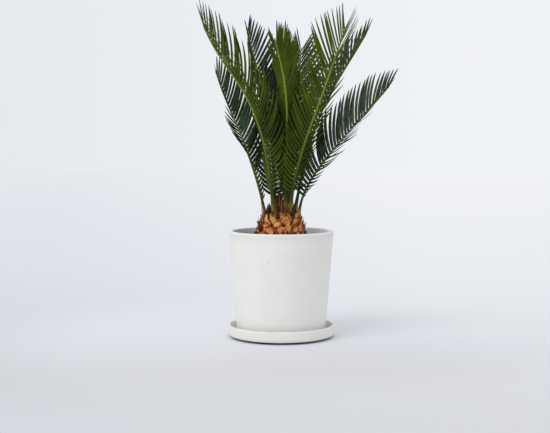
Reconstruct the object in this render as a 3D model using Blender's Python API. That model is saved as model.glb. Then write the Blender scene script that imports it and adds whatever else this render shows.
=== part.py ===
"""Potted sago palm at rest on a flat floor: saucer, pot, soil, caudex, crown bud, fronds and dry scale leaves.

Metres, +Z up. The origin is the centre of the saucer's foot on the floor.
A bearing is an angle about +Z from +X: 90 is the back of the plant, 270 its front.
"""

import math

import bmesh
import bpy
from mathutils import Vector
from mathutils.bvhtree import BVHTree

GAP = 0.0003  # between pieces that rest on one another
FOOT_GAP = 0.0007  # under the corners of a frond's flat foot, on the domed crown

# Saucer: (radius, height) round its section, from the middle of the underside outwards and back
SAUCER_FLOOR = 0.006
SAUCER_SECTION = (
    (0.0, 0.0), (0.0815, 0.0), (0.0830, 0.0006), (0.0838, 0.0030), (0.0890, 0.0034), (0.0912, 0.0052),
    (0.0918, 0.0080), (0.0908, 0.0200), (0.0900, 0.0217), (0.0886, 0.0217), (0.0876, 0.0204),
    (0.0852, 0.0080), (0.0838, SAUCER_FLOOR), (0.0, SAUCER_FLOOR),
)

# Pot: slightly tapered, thick walled, with a drainage hole in its floor
POT_BASE = SAUCER_FLOOR + GAP
POT_FLOOR_TOP = 0.018
POT_HOLE = 0.008
POT_SECTION = (
    (POT_HOLE, POT_BASE), (0.0740, POT_BASE), (0.0759, 0.0078), (0.0766, 0.0140), (0.0828, 0.0900),
    (0.0892, 0.1690), (0.0900, 0.1800), (0.0893, 0.1824), (0.0874, 0.1830), (0.0838, 0.1830),
    (0.0824, 0.1822), (0.0819, 0.1800), (0.0810, 0.1690), (0.0730, 0.0800), (0.0688, 0.0250),
    (0.0660, 0.0190), (0.0630, POT_FLOOR_TOP), (POT_HOLE, POT_FLOOR_TOP),
)

# Caudex: swollen stem, its lower part in the soil
ROUND = 36  # sides of the caudex and of the soil's socket
CROWN_TOP = 0.2205
CROWN_CURVE = 15.0
BURIED = ((0.0, 0.1270), (0.0150, 0.1280), (0.0300, 0.1350), (0.0380, 0.1490), (0.0392, 0.1600))
SCALE_BASE, SCALE_ROWS, SCALE_STEP = 0.1640, 13, 0.0030
SCALE_REACH, SCALE_RISE = 0.0042, 0.0022

# Soil: from the pot's floor to its top, round the buried part of the caudex
SOIL_TOP = 0.1600
SOIL_LUMP = 0.0012

BUD_FOOT, BUD_RADIUS, BUD_TOP = (-0.003, 0.0), 0.0068, 0.2500

# Frond by frond: the foot's bearing and distance from the axis, the rachis's length and the share of it that is
# bare. Then values from foot to tip, in degrees: lean from upright, bearing, and for the leaflets half the opening
# between the two rows, roll of both rows about the rachis, sweep from the rachis, how much more of it one row has
# (skew) and inward curl. Then the leaflets' lengths in metres, the share of them that each row has, each row's
# share of the usual width, and the blades' twist. The nearest to the front come first, and so find room first.
FRONDS = {
    "frond_05": dict(foot=(308, 0.023), length=0.335, bare=0.11, pairs=42, lean=(8, 21, 28, 27, 27),
                     head=(312, 312, 312), half=(76, 66, 62, 62, 56), roll=(-8, -22, -18, -16, -14),
                     skew=(0, -2, -5, -6, -4), sweep=(56, 42, 34, 31, 18), curl=(36, 24, 10, 4, 2),
                     leaf=(0.022, 0.054, 0.068, 0.086, 0.044), rows=(1, 1), width=(0.88, 0.84), twist=-8),
    "frond_07": dict(foot=(350, 0.029), length=0.271, bare=0.12, pairs=36, lean=(8, 32, 40, 43, 40),
                     head=(350, 352, 352), half=(72, 72, 68, 60, 54), roll=(44, 42, 36, 30, 26), skew=(0, 0),
                     sweep=(68, 54, 46, 40, 22), curl=(34, 30, 28, 22, 12),
                     leaf=(0.034, 0.074, 0.086, 0.074, 0.038), rows=(0.68, 1), width=(1, 1.12), twist=-10),
    "frond_01": dict(foot=(236, 0.022), length=0.341, bare=0.11, pairs=42, lean=(7, 12, 25, 39, 26),
                     head=(226, 212, 204), half=(70, 52, 46, 44, 46), roll=(0, 0), skew=(0, -3, -3, 0, 0),
                     sweep=(58, 42, 32, 30, 22), curl=(34, 30, 28, 20, 6),
                     leaf=(0.020, 0.062, 0.088, 0.088, 0.048), rows=(1, 1), width=(1.04, 1.04), twist=28),
    "frond_04": dict(foot=(300, 0.014), length=0.310, bare=0.07, pairs=38, lean=(2, 8, 28, 36, 35),
                     head=(290, 269, 247), half=(46, 40, 42, 50, 50), roll=(0, -2, -2, 10, 12),
                     skew=(0, 5, 4, 2, 0), sweep=(54, 34, 27, 26, 17), curl=(30, 20, 14, 10, 6),
                     leaf=(0.014, 0.038, 0.064, 0.072, 0.040), rows=(0.82, 1), width=(0.92, 1), twist=30),
    "frond_02": dict(foot=(172, 0.027), length=0.266, bare=0.10, pairs=34, lean=(12, 18, 24, 27, 20),
                     head=(168, 154, 150), half=(56, 56, 58, 60, 52, 44, 38), roll=(26, 20, -14, -38, -6, 0, 0),
                     skew=(0, 0, 2, 4, 2, 0, 0), sweep=(64, 50, 46, 44, 38, 32, 20), curl=(34, 28, 20, 18, 12),
                     leaf=(0.020, 0.056, 0.078, 0.074, 0.034), rows=(1, 0.45), width=(1.15, 0.8), twist=16),
    "frond_03": dict(foot=(135, 0.015), length=0.324, bare=0.10, pairs=38, lean=(0, 4, 13, 20, 15),
                     head=(142, 140, 142), half=(60, 50, 52, 52, 50), roll=(0, -8, -20, -24, -22),
                     skew=(0, -4, -9, -11, -5), sweep=(60, 42, 35, 33, 14), curl=(32, 22, 12, 4, 2),
                     leaf=(0.020, 0.054, 0.072, 0.064, 0.030), rows=(1, 0.6), width=(1.12, 1), twist=26),
    "frond_06": dict(foot=(22, 0.024), length=0.342, bare=0.13, pairs=36, lean=(12, 15, 24, 33, 32),
                     head=(26, 22, 16), half=(78, 62, 54, 52, 48), roll=(6, 8, 8, 8, 6), skew=(0, 0),
                     sweep=(64, 48, 36, 30, 18), curl=(34, 28, 20, 14, 8),
                     leaf=(0.020, 0.052, 0.066, 0.062, 0.036), rows=(1, 1), width=(1, 1), twist=-10),
    "frond_08": dict(foot=(10, 0.012), length=0.292, bare=0.10, pairs=32, lean=(2, 3, 4, 6, 10),
                     head=(250, 250, 255), half=(70, 56, 48, 44, 40), roll=(0, 0), skew=(0, 0),
                     sweep=(60, 40, 28, 22, 14), curl=(30, 20, 12, 8, 6),
                     leaf=(0.020, 0.054, 0.066, 0.058, 0.032), rows=(1, 1), width=(1, 1), twist=30),
    "frond_09": dict(foot=(60, 0.023), length=0.308, bare=0.12, pairs=34, lean=(10, 15, 19, 22, 24),
                     head=(66, 75, 80), half=(72, 58, 54, 52, 48), roll=(6, 14, 26, 28, 26), skew=(0, 0),
                     sweep=(64, 46, 38, 35, 28), curl=(30, 20, 10, 4, 2),
                     leaf=(0.020, 0.054, 0.074, 0.072, 0.040), rows=(1, 1), width=(1.1, 1), twist=24),
    "frond_10": dict(foot=(112, 0.026), length=0.272, bare=0.10, pairs=34, lean=(8, 13, 19, 25, 28),
                     head=(110, 100, 94), half=(74, 60, 54, 50, 46), roll=(0, 6, 12, 14, 12), skew=(0, 0),
                     sweep=(64, 46, 36, 30, 20), curl=(30, 22, 14, 10, 8),
                     leaf=(0.030, 0.064, 0.076, 0.064, 0.034), rows=(1, 1), width=(1.1, 1.1), twist=24),
}
STEPS = 120  # stations along a rachis
LEAFLET_BEND = 0.55  # where a leaflet has its widest section
LEAFLET_WIDTH = (0.0045, 0.0053, 0.0050, 0.0043, 0.0028)
LEAFLET_THICK = 0.0009
THICK_FOOT = 0.13  # share of the rachis that thickens towards its foot
# How far neighbouring leaflets stray together, in opening and in sweep: degrees, and phase from one to the next
STRAY = ((3.5, 0.47), (2.6, 0.63))
CLEARANCE = 0.0005
RACHIS_CLEARANCE = 0.0025  # a leaflet stays this far from another frond's rachis, where its leaflets start
# Ways a leaflet may give way to one already there: degrees opened, degrees swept, share of its length
GIVE_WAY = (
    (0, 0, 1), (6, 0, 1), (-6, 0, 1), (0, 6, 1), (0, -5, 1), (12, 0, 1), (-12, 0, 1), (8, 8, 1), (-8, 8, 1),
    (8, -6, 1), (-8, -6, 1), (18, 0, 0.95), (-18, 0, 0.95), (0, 14, 0.9), (14, 12, 0.9), (-14, 12, 0.9),
    (0, 0, 0.8), (10, 4, 0.8), (-10, 4, 0.8), (0, 0, 0.65), (12, 8, 0.65), (-12, 8, 0.65), (0, 0, 0.5),
    (12, 8, 0.5), (-12, 8, 0.5), (0, 0, 0.36), (14, 8, 0.36), (-14, 8, 0.36), (24, -8, 0.36), (-24, -8, 0.36),
    (0, 0, 0.24), (24, 0, 0.24), (-24, 0, 0.24), (0, 0, 0.14),
)

# Dry scale leaves: foot bearing, distance from the axis, length, lean at foot and tip, bearing, width
SCALE_LEAVES = {
    "scale_leaf_01": (204, 0.0320, 0.034, 20, -2, 196, 0.0030),
    "scale_leaf_02": (196, 0.0250, 0.016, 12, 20, 190, 0.0036),
    "scale_leaf_03": (252, 0.0300, 0.026, 6, 2, 262, 0.0044),
    "scale_leaf_04": (272, 0.0250, 0.030, 4, 0, 262, 0.0046),
    "scale_leaf_05": (282, 0.0310, 0.022, 10, 2, 286, 0.0044),
    "scale_leaf_06": (262, 0.0160, 0.034, 4, 2, 250, 0.0042),
    "scale_leaf_07": (330, 0.0310, 0.024, 8, 2, 330, 0.0036),
    "scale_leaf_08": (338, 0.0240, 0.026, 6, 0, 330, 0.0036),
    "scale_leaf_09": (8, 0.0325, 0.016, 16, -30, 5, 0.0028),
    "scale_leaf_10": (40, 0.0320, 0.022, 14, 4, 42, 0.0040),
    "scale_leaf_11": (80, 0.0310, 0.024, 12, 4, 80, 0.0044),
    "scale_leaf_12": (148, 0.0310, 0.024, 14, 6, 150, 0.0044),
}


def clear_scene():
    for obj in list(bpy.data.objects):
        bpy.data.objects.remove(obj, do_unlink=True)


def material(name, colour, roughness):
    mat = bpy.data.materials.get(name) or bpy.data.materials.new(name)
    mat.use_nodes = True
    shader = mat.node_tree.nodes["Principled BSDF"]
    shader.inputs["Base Color"].default_value = (*colour, 1)
    shader.inputs["Roughness"].default_value = roughness
    return mat


def add_piece(name, points, faces, mat):
    """One closed mesh object from points and faces, its faces turned outwards."""
    mesh = bpy.data.meshes.new(name)
    mesh.from_pydata([tuple(p) for p in points], [], faces)
    work = bmesh.new()
    work.from_mesh(mesh)
    bmesh.ops.triangulate(work, faces=work.faces[:])
    bmesh.ops.recalc_face_normals(work, faces=work.faces[:])
    work.to_mesh(mesh)
    work.free()
    mesh.materials.append(mat)
    obj = bpy.data.objects.new(name, mesh)
    bpy.context.collection.objects.link(obj)
    return obj


def turned(section, sides, closed):
    """Points and faces of a section turned about Z. A closed section is a ring; otherwise its ends lie on Z."""
    points, rows = [], []
    for radius, height in section:
        if radius == 0:
            rows.append([len(points)] * sides)
            points.append(Vector((0, 0, height)))
            continue
        rows.append(list(range(len(points), len(points) + sides)))
        for k in range(sides):
            a = 2 * math.pi * k / sides
            points.append(Vector((radius * math.cos(a), radius * math.sin(a), height)))
    pairs = list(zip(rows, rows[1:])) + ([(rows[-1], rows[0])] if closed else [])
    faces = []
    for low, high in pairs:
        for k in range(sides):
            face = dict.fromkeys((low[k], low[(k + 1) % sides], high[(k + 1) % sides], high[k]))
            faces.append(tuple(face))
    return points, faces


def crown_height(radius):
    return CROWN_TOP - CROWN_CURVE * radius * radius


def add_saucer(mat):
    add_piece("saucer", *turned(SAUCER_SECTION, 48, False), mat)


def add_pot(mat):
    add_piece("pot", *turned(POT_SECTION, 48, True), mat)


def add_soil(mat):
    """Fills the pot up to SOIL_TOP, with a socket for the caudex and a slightly lumpy top."""
    under = ((0.0, POT_FLOOR_TOP + GAP), (0.0622, POT_FLOOR_TOP + GAP), (0.0652, 0.0195), (0.0680, 0.0255))
    wall = ((0.0722, 0.0800), (0.0794, SOIL_TOP - 0.0015), (0.0780, SOIL_TOP))
    socket = [(r + 0.0005 if r else 0.0, z - 0.0004) for r, z in BURIED]
    top = ((0.0640, SOIL_TOP), (0.0520, SOIL_TOP), (socket[-1][0] + 0.0008, SOIL_TOP))
    points, faces = turned(under + wall + top + tuple(reversed(socket[:-1])), ROUND, False)
    for k, p in enumerate(points):
        if 0.045 < math.hypot(p.x, p.y) < 0.070 and p.z == SOIL_TOP:
            p.z += SOIL_LUMP * math.sin(2.3 * k) * math.cos(1.1 * k)
    add_piece("soil", points, faces, mat)


def caudex_section():
    """(radius, height) of the stem without its scales, from its buried end to its crown."""
    side = ((0.164, 0.0396), (0.175, 0.0386), (0.185, 0.0372), (0.195, 0.0354), (0.203, 0.0330))
    rows = list(BURIED)
    for k in range(SCALE_ROWS + 1):
        z = SCALE_BASE + k * SCALE_STEP
        for (z0, r0), (z1, r1) in zip(side, side[1:]):
            if z0 <= z <= z1 + 1e-9:
                rows.append((r0 + (r1 - r0) * (z - z0) / (z1 - z0), z))
                break
    rows += [(r, crown_height(r)) for r in (0.0310, 0.0260, 0.0200, 0.0130, 0.0060, 0.0)]
    return rows


def add_caudex(mat):
    """The stem, with rows of pointed leaf bases that lean out and up."""
    points, faces = turned(caudex_section(), ROUND, False)
    first = 1 + ROUND * (len(BURIED) - 1)
    for row in range(SCALE_ROWS + 1):
        for k in range(ROUND):
            p = points[first + row * ROUND + k]
            across = (k + (2 if row % 4 == 3 else 0)) % 4
            out = Vector((p.x, p.y, 0)).normalized()
            if row % 2 == 1 and across == 0 and row < SCALE_ROWS:
                p += out * SCALE_REACH + Vector((0, 0, SCALE_RISE))
            elif row % 2 == 0 and 0 < row and (k % 2) == 0 and row < SCALE_ROWS:
                p += out * 0.0012
    add_piece("caudex", points, faces, mat)


def add_bud(mat):
    x, y = BUD_FOOT
    shape = ((0.75, 0.0), (1.0, 0.15), (1.0, 0.35), (0.82, 0.58), (0.5, 0.8), (0.22, 0.94))
    points, faces, sides = [], [], 12
    for size, up in shape:
        for k in range(sides):
            a = 2 * math.pi * k / sides
            px, py = x + BUD_RADIUS * size * math.cos(a), y + BUD_RADIUS * size * math.sin(a)
            foot = crown_height(math.hypot(px, py)) + GAP
            points.append(Vector((px, py, foot + (BUD_TOP - foot) * up)))
    points += [Vector((x, y, crown_height(abs(x)) + GAP)), Vector((x, y, BUD_TOP))]
    for row in range(len(shape) - 1):
        for k in range(sides):
            a, b = row * sides + k, row * sides + (k + 1) % sides
            faces.append((a, b, b + sides, a + sides))
    for k in range(sides):
        top = (len(shape) - 1) * sides
        faces += [(k, (k + 1) % sides, len(points) - 2), (top + k, top + (k + 1) % sides, len(points) - 1)]
    add_piece("crown_bud", points, faces, mat)


def along(values, x):
    """A smooth curve through equally spaced values, at x from 0 to 1."""
    last = len(values) - 1
    place = min(max(x, 0.0), 1.0) * last
    k = min(int(place), last - 1)
    t = place - k
    a, b, c, d = (values[min(max(j, 0), last)] for j in (k - 1, k, k + 1, k + 2))
    return 0.5 * (2 * b + (c - a) * t + (2 * a - 5 * b + 4 * c - d) * t**2 + (3 * b - a - 3 * c + d) * t**3)


def direction(lean, head):
    lean, head = math.radians(lean), math.radians(head)
    return Vector((math.sin(lean) * math.cos(head), math.sin(lean) * math.sin(head), math.cos(lean)))


def rachis_stations(frond):
    """(point, forward, sideways, upward) at STEPS + 1 places; upward faces the crown's axis."""
    bearing, radius = frond["foot"]
    bearing = math.radians(bearing)
    point = Vector((radius * math.cos(bearing), radius * math.sin(bearing), crown_height(radius) + FOOT_GAP))
    stations = []
    for k in range(STEPS + 1):
        s = k / STEPS
        head = along(frond["head"], s)
        forward = direction(along(frond["lean"], s), head)
        if stations:
            point = point + (stations[-1][1] + forward).normalized() * frond["length"] / STEPS
        across = Vector((-math.sin(math.radians(head)), math.cos(math.radians(head)), 0))
        sideways = (across - across.dot(forward) * forward).normalized()
        stations.append((point, forward, sideways, forward.cross(sideways)))
    return stations


def station_at(stations, s):
    place = min(max(s, 0.0), 1.0) * STEPS
    k = min(int(place), STEPS - 1)
    mixed = [a.lerp(b, place - k) for a, b in zip(stations[k], stations[k + 1])]
    return (mixed[0], *(v.normalized() for v in mixed[1:]))


def leafy_share(frond, x):
    """The place on the rachis, 0 to 1, of the share x of its leafy part."""
    return frond["bare"] + (1 - frond["bare"]) * x


def rachis_size(s):
    """Half width, height of the side faces' edges and whole depth of the rachis there."""
    if s <= THICK_FOOT:
        x = s / THICK_FOOT
        return along((0.0046, 0.0034, 0.0027), x), along((0.0016, 0.0012, 0.0010), x), along(
            (0.0062, 0.0046, 0.0037), x)
    x = (s - THICK_FOOT) / (1 - THICK_FOOT)
    return along((0.0027, 0.0017, 0.0009), x), along((0.0010, 0.0007, 0.0005), x), along(
        (0.0037, 0.0026, 0.0014), x)


def rachis_places(frond):
    """Where the rachis has a ring of points: a few along its bare foot, then one between leaflets."""
    count = 2 * frond["pairs"]
    return [0.0, 0.025, 0.055] + [leafy_share(frond, k / count) for k in range(count + 1)]


def rachis_ring(stations, s, grow=0.0):
    """Five points: flat towards the crown's axis, with narrow sides and a keel below."""
    point, _, sideways, upward = station_at(stations, s)
    wide, side, deep = (a + b for a, b in zip(rachis_size(s), (grow, grow, 2 * grow)))
    corners = ((wide, side), (wide, -side), (0, side - deep), (-wide, -side), (-wide, side))
    ring = [point + sideways * a + upward * b for a, b in corners]
    if s == 0:
        for p in ring:
            p.z = crown_height(math.hypot(p.x, p.y)) + FOOT_GAP
    return ring


def leaflet(stations, frond, k, give):
    """The widest section's four corners and the tip of leaflet k, in the order of the rachis's side face."""
    side = -1 if k % 2 == 0 else 1
    x = (k + 0.5) / (2 * frond["pairs"])
    root = leafy_share(frond, x)
    point, forward, sideways, upward = station_at(stations, root)
    start = point + sideways * side * rachis_size(root)[0]
    lift, lag = (amount * math.sin(pace * k + frond["foot"][0]) for amount, pace in STRAY)
    half = math.radians(along(frond["half"], x) + give[0] + lift - side * along(frond["roll"], x))
    wing = upward * math.cos(half) + sideways * side * math.sin(half)
    normal = upward * math.sin(half) - sideways * side * math.cos(half)
    length, curl = along(frond["leaf"], x) * frond["rows"][k % 2] * give[2], along(frond["curl"], x)
    sweep = along(frond["sweep"], x) + give[1] + lag + side * along(frond["skew"], x)

    def heading(u):
        a = math.radians(sweep + curl * (0.5 - u))
        return forward * math.cos(a) + wing * math.sin(a), forward * math.sin(a) - wing * math.cos(a)

    middle, tip, parts = start, start, 20
    for j in range(parts):
        u = (j + 0.5) / parts
        tip = tip + heading(u)[0] * length / parts
        if u < LEAFLET_BEND:
            middle = tip
    twist = math.radians(frond["twist"])
    over = heading(LEAFLET_BEND)[1]
    across = over * math.cos(twist) + normal * math.sin(twist)
    through = normal * math.cos(twist) - over * math.sin(twist)
    return middle, across, through, tip


def leaflet_points(stations, frond, k, give, grow=0.0):
    """Four root corners, four corners at the widest section and the tip."""
    side = -1 if k % 2 == 0 else 1
    count = 2 * frond["pairs"]
    rings = [rachis_ring(stations, leafy_share(frond, j / count)) for j in (k, k + 1)]
    top, low = (0, 1) if side > 0 else (4, 3)
    middle, across, through, tip = leaflet(stations, frond, k, give)
    wide = along(LEAFLET_WIDTH, k / count) * frond["width"][k % 2] / 2 + grow
    thick = LEAFLET_THICK / 2 + grow
    corners = ((-1, 1), (-1, -1), (1, -1), (1, 1))
    section = [middle + across * a * wide + through * b * thick for a, b in corners]
    return [rings[0][top], rings[0][low], rings[1][low], rings[1][top]] + section + [tip]


LEAFLET_FACES = [
    (0, 1, 5, 4), (1, 2, 6, 5), (2, 3, 7, 6), (3, 0, 4, 7), (4, 5, 8), (5, 6, 8), (6, 7, 8), (7, 4, 8),
]


def solid_tree(points, faces):
    """A search tree and a bounding box, for finding what a piece touches."""
    low = [min(p[i] for p in points) for i in range(3)]
    high = [max(p[i] for p in points) for i in range(3)]
    return BVHTree.FromPolygons(points, faces), low, high


def meets(one, other):
    apart = any(one[1][i] > other[2][i] or other[1][i] > one[2][i] for i in range(3))
    return not apart and bool(one[0].overlap(other[0]))


def rachis_mesh(stations, frond, grow=0.0):
    rings = [rachis_ring(stations, s, grow) for s in rachis_places(frond)]
    points = [p for ring in rings for p in ring]
    faces = [tuple(range(5)), tuple(range(len(points) - 5, len(points)))]
    for row in range(len(rings) - 1):
        for j in range(5):
            a, b = row * 5 + j, row * 5 + (j + 1) % 5
            faces.append((a, b, b + 5, a + 5))
    return points, faces


def placed_leaflets(all_stations):
    """For every frond, how its leaflets give way to what is already there. Those with no room are left out."""
    rachises = {
        name: solid_tree(*rachis_mesh(all_stations[name], frond, RACHIS_CLEARANCE))
        for name, frond in FRONDS.items()
    }
    there, found = [], {}
    for name, frond in FRONDS.items():
        others = [tree for other, tree in rachises.items() if other != name]
        found[name] = {}
        for k in range(2 * frond["pairs"]):
            for give in GIVE_WAY:
                points = leaflet_points(all_stations[name], frond, k, give, CLEARANCE)
                tree = solid_tree(points, LEAFLET_FACES)
                if not any(meets(tree, other) for other in others + there):
                    found[name][k] = give
                    exact = leaflet_points(all_stations[name], frond, k, give)
                    there.append(solid_tree(exact, LEAFLET_FACES))
                    break
    return found


def add_frond(name, stations, frond, gives, mat):
    """Rachis and leaflets as one body: each leaflet grows out of one side face of the rachis."""
    points, faces = rachis_mesh(stations, frond)
    first_ring = len(rachis_places(frond)) - 1 - 2 * frond["pairs"]
    gone = set()
    for k, give in gives.items():
        side = -1 if k % 2 == 0 else 1
        low, high = (first_ring + k) * 5, (first_ring + k + 1) * 5
        top, under = (0, 1) if side > 0 else (4, 3)
        root = [low + top, low + under, high + under, high + top]
        gone.add(frozenset(root))
        ends = list(range(len(points), len(points) + 5))
        points += leaflet_points(stations, frond, k, give)[4:]
        faces += [tuple((root + ends)[i] for i in face) for face in LEAFLET_FACES]
    add_piece(name, points, [f for f in faces if frozenset(f) not in gone], mat)


def add_scale_leaf(name, values, mat):
    """A thin curved spike with a flat four-sided section."""
    bearing, radius, length, lean0, lean1, head, width = values
    a = math.radians(bearing)
    point = Vector((radius * math.cos(a), radius * math.sin(a), crown_height(radius) + GAP))
    across = Vector((-math.sin(math.radians(head)), math.cos(math.radians(head)), 0))
    shape = ((0.0, 1.0), (0.3, 0.85), (0.6, 0.55), (0.85, 0.25))
    points, faces, last = [], [], 0.0
    for share, size in shape:
        forward = direction(lean0 + (lean1 - lean0) * share, head)
        point = point + forward * length * (share - last)
        last = share
        out = across.cross(forward)
        for i, j in ((-1, 0), (0, -1), (1, 0), (0, 1)):
            p = point + across * i * width / 2 * size + out * j * width / 5 * (size + 0.2)
            if share == 0:
                p.z = crown_height(math.hypot(p.x, p.y)) + GAP
            points.append(p)
    points.append(point + direction(lean1, head) * length * (1 - last))
    for row in range(len(shape) - 1):
        for k in range(4):
            i, j = row * 4 + k, row * 4 + (k + 1) % 4
            faces.append((i, j, j + 4, i + 4))
    top = (len(shape) - 1) * 4
    faces += [(top + k, top + (k + 1) % 4, len(points) - 1) for k in range(4)] + [(0, 1, 2, 3)]
    add_piece(name, points, faces, mat)


def build():
    clear_scene()
    ceramic = material("ceramic", (0.78, 0.77, 0.74), 0.6)
    add_saucer(ceramic)
    add_pot(ceramic)
    add_soil(material("soil", (0.035, 0.022, 0.014), 0.95))
    add_caudex(material("leaf_base", (0.45, 0.20, 0.07), 0.75))
    add_bud(material("bud_wool", (0.10, 0.04, 0.02), 0.95))
    green = material("leaf", (0.06, 0.14, 0.03), 0.45)
    all_stations = {name: rachis_stations(frond) for name, frond in FRONDS.items()}
    gives = placed_leaflets(all_stations)
    for name, frond in FRONDS.items():
        add_frond(name, all_stations[name], frond, gives[name], green)
        changed = sum(give != GIVE_WAY[0] for give in gives[name].values())
        print(name, "leaflets:", len(gives[name]), "of", 2 * frond["pairs"], "moved:", changed)
    dry = material("dry_scale", (0.16, 0.07, 0.035), 0.85)
    for name, values in SCALE_LEAVES.items():
        add_scale_leaf(name, values, dry)


build()
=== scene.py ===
# %% [markdown]
# # A potted sago palm
# A young cycad stands in a round stoneware pot on its saucer. The solids that MuJoCo uses are
# loaded first and stay where they are; this lesson dresses them. Everything is in metres, +Z is
# up, the origin is the middle of the saucer's foot, and the front of the plant looks along -Y.
# A bearing is an angle about +Z from +X, so 90 is the back and 270 the front.

# %% Load the frame and keep its box
import math
import random

import bpy
from mathutils import Matrix, Vector, noise
from mathutils.bvhtree import BVHTree


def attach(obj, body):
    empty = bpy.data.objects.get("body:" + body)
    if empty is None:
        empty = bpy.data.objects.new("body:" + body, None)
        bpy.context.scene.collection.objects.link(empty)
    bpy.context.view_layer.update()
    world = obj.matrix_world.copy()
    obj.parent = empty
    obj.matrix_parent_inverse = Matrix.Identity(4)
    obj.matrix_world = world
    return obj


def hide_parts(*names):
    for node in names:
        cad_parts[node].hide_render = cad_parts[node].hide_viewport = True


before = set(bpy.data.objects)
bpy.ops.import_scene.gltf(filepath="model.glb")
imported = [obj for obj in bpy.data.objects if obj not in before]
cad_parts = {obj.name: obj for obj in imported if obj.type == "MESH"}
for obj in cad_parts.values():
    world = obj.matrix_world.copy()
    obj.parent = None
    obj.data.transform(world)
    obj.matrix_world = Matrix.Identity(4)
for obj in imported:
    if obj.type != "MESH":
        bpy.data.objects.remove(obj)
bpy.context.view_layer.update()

# %% [markdown]
# ## The camera
# It stands about 1.9 m in front, a little higher than the plant's middle, and looks slightly
# down, with a lens long enough to keep the pot's walls nearly straight. The frame is shifted by
# one hundredth of its width.


# %% The camera
def put_in_scene(name, data):
    """A new object with this mesh, camera or lamp."""
    obj = bpy.data.objects.new(name, data)
    bpy.context.scene.collection.objects.link(obj)
    return obj


LOOKING_DOWN = 3.79  # degrees
view = bpy.data.cameras.new("view")
view.lens, view.sensor_width, view.shift_x = 71.2, 36.0, -0.0113
camera = put_in_scene("view", view)
camera.location = (0.0, -1.8648, 0.3307)
camera.rotation_euler = (math.radians(90 - LOOKING_DOWN), 0.0, 0.0)
bpy.context.scene.camera = camera
bpy.context.scene.view_settings.view_transform = "Standard"
print("camera at", tuple(camera.location))

# %% [markdown]
# ## Colours and nodes
# Colours are written as the hex values that a picker shows, and one function turns them into the
# linear values that a shader works in. One more adds a node with its settings and what feeds it,
# and a few short ones name the nodes that come back often, so each material reads as a list.


# %% Helpers for materials
def linear(code):
    parts = [int(code[i:i + 2], 16) / 255 for i in (1, 3, 5)]
    return tuple(p / 12.92 if p <= 0.04045 else ((p + 0.055) / 1.055) ** 2.4
                 for p in parts) + (1.0,)


def new_material(name, colour, roughness, **sockets):
    """A Principled material; constants are set on the shader's own sockets, _ for a space.
    The nodes added next go into its tree."""
    global tree
    material = bpy.data.materials.new(name)
    material.use_nodes = True
    tree = material.node_tree
    inputs = tree.nodes["Principled BSDF"].inputs
    inputs["Base Color"].default_value = linear(colour)
    inputs["Roughness"].default_value = roughness
    for socket, value in sockets.items():
        inputs[socket.replace("_", " ")].default_value = value
    return material


def add_node(kind, feeds=(), **settings):
    """feeds: (input, what feeds it): a socket, or else a number, a vector or a hex colour."""
    node = tree.nodes.new("ShaderNode" + kind)
    for key, value in settings.items():
        setattr(node, key, value)
    for key, what in feeds:
        if isinstance(what, bpy.types.NodeSocket):
            tree.links.new(what, node.inputs[key])
        else:
            node.inputs[key].default_value = linear(what) if isinstance(what, str) else what
    return node


def plug(source, socket, node="Principled BSDF"):
    tree.links.new(source, tree.nodes[node].inputs[socket])


def object_space():
    return add_node("TexCoord").outputs["Object"]


def noise_in(space, scale, detail=2.0):
    feeds = (("Vector", space), ("Scale", scale), ("Detail", detail))
    return add_node("TexNoise", feeds).outputs["Fac"]


def maths(operation, *values):
    return add_node("Math", enumerate(values), operation=operation).outputs[0]


def vector_maths(operation, *values):
    node = add_node("VectorMath", enumerate(values), operation=operation)
    return node.outputs["Value" if operation == "LENGTH" else "Vector"]


def split(vector):
    """x, y and z of a vector."""
    return add_node("SeparateXYZ", [(0, vector)]).outputs[:]


def red_of(colour):
    return add_node("SeparateColor", [("Color", colour)]).outputs["Red"]


def rescale(value, low, high, least=0.0, most=1.0, **settings):
    """least where value is low, most where it is high, and in proportion between them."""
    feeds = enumerate((value, low, high, least, most))
    return add_node("MapRange", feeds, **settings).outputs[0]


def ramp(factor, *stops, interpolation="LINEAR"):
    """A colour ramp with (place, hex colour) for each stop."""
    node = add_node("ValToRGB", [(0, factor)])
    node.color_ramp.interpolation = interpolation
    points = node.color_ramp.elements
    while len(points) < len(stops):
        points.new(0.5)
    for point, (place, colour) in zip(points, stops):
        point.position, point.color = place, linear(colour)
    return node.outputs["Color"]


def mix_colours(factor, first, second):
    """first where factor is 0, second where it is 1."""
    feeds = ((0, factor), (6, first), (7, second))
    return add_node("Mix", feeds, data_type="RGBA").outputs[2]


def paint(colour):
    plug(colour, "Base Color")


def roughen(height, strength, distance):
    feeds = (("Height", height), ("Strength", strength), ("Distance", distance))
    plug(add_node("Bump", feeds).outputs["Normal"], "Normal")


print("linear value of #808080:", round(linear("#808080")[0], 3))

# %% [markdown]
# ## Matt speckled stoneware
# Pot and saucer are thrown or slip-cast stoneware under a matt off-white glaze. Iron in the clay
# bleeds through the glaze as sparse dark specks, most of them well under a millimetre and a few
# near two. To the eye that gives a soft, almost chalky white with no sharp reflection. Two cell
# patterns, 5 mm and 19 mm apart, give the specks: a cell shows one only where its random number
# is high, so they lie scattered and not in rows. The height above the table places the rest: the
# glaze is greyer in bands on and just under the rim, painted shade darkens it near the floor,
# and a near-black painted shadow covers the foot, where the saucer stands on the floor.


# %% Matt speckled stoneware
def specks(place, spacing, share, radius):
    """1 inside a speck. spacing: between cells, in metres; share: how many cells have one;
    radius: in cells."""
    cells = add_node("TexVoronoi", [("Vector", place), ("Scale", 1 / spacing)])
    chance = red_of(cells.outputs["Color"])
    size = rescale(chance, 1 - share, 1.0, most=radius)
    return maths("LESS_THAN", cells.outputs["Distance"], size)


def from_axis(place):
    """The distance from the plant's upright axis."""
    flat = vector_maths("MULTIPLY", place, (1.0, 1.0, 0.0))
    return vector_maths("LENGTH", flat)


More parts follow.
